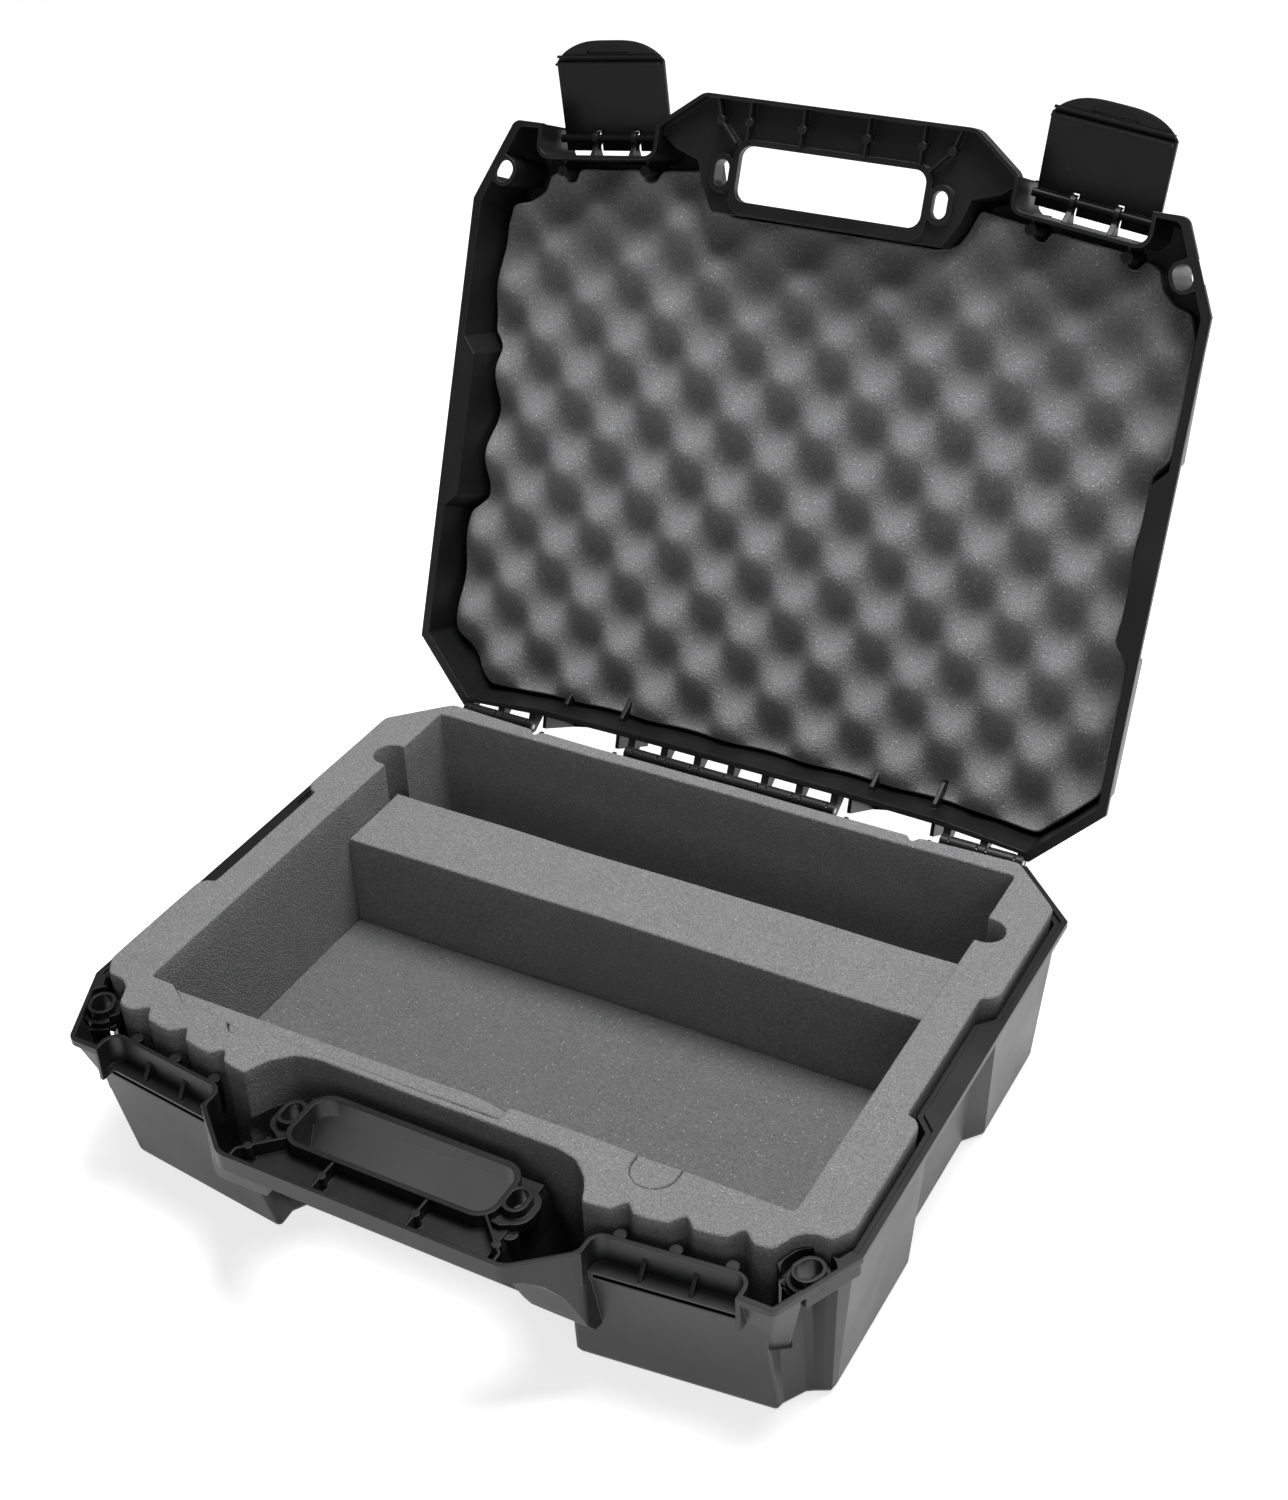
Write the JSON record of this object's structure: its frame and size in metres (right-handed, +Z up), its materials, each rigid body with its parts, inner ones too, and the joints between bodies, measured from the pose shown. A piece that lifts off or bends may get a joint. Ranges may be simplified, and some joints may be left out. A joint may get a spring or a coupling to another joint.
{
  "type": "hinged equipment case",
  "caption": "Moulded equipment case with a hinged lid, front latches, hand-through handle, padlock eyes, cut foam insert and egg-crate lid foam, shown open",
  "frame": {"origin": "On the floor, under the base: x = 0 is the mid plane of the case, y = 0 lies 190 mm in front of the hinge axis, z = 0 is the underside of the base.", "axes": "+X to the right seen from the front, +Y to the rear (hinge side), +Z up. The front with the handle and latches faces -Y."},
  "size_m": [0.44, 0.5496, 0.4649],
  "materials": {
    "shell_black": "moulded black polypropylene, fine satin",
    "latch_black": "moulded black plastic",
    "pin_steel": "steel rod",
    "foam_grey": "open-cell grey foam"
  },
  "bodies": {
    "base": {"base_shell": "shell_black", "hinge_pin_left": "pin_steel", "hinge_pin_centre": "pin_steel", "hinge_pin_right": "pin_steel", "foam_base_insert": "foam_grey", "foam_front_strip": "foam_grey", "foam_round_plug": "foam_grey", "foam_bottom_pad": "foam_grey", "foam_divider": "foam_grey"},
    "lid": {"lid_shell": "shell_black", "foam_lid_pad": "foam_grey"},
    "latch_left": {"latch_left": "latch_black"},
    "latch_right": {"latch_right": "latch_black"}
  },
  "joints": [
    {"name": "lid_hinge", "type": "hinge", "parent": "base", "child": "lid", "pos_m": [0, 0.19, 0.095], "axis": [1, 0, 0], "range_deg": [0, 111.35]},
    {"name": "latch_left_hinge", "type": "hinge", "parent": "lid", "child": "latch_left", "pos_m": [-0.1435, 0.33887, 0.40991], "axis": [0.9934, 0.0417, 0.1066], "range_deg": [0, 71]},
    {"name": "latch_right_hinge", "type": "hinge", "parent": "lid", "child": "latch_right", "pos_m": [0.1435, 0.33887, 0.40991], "axis": [0.9934, -0.0417, -0.1066], "range_deg": [0, 71]}
  ]
}
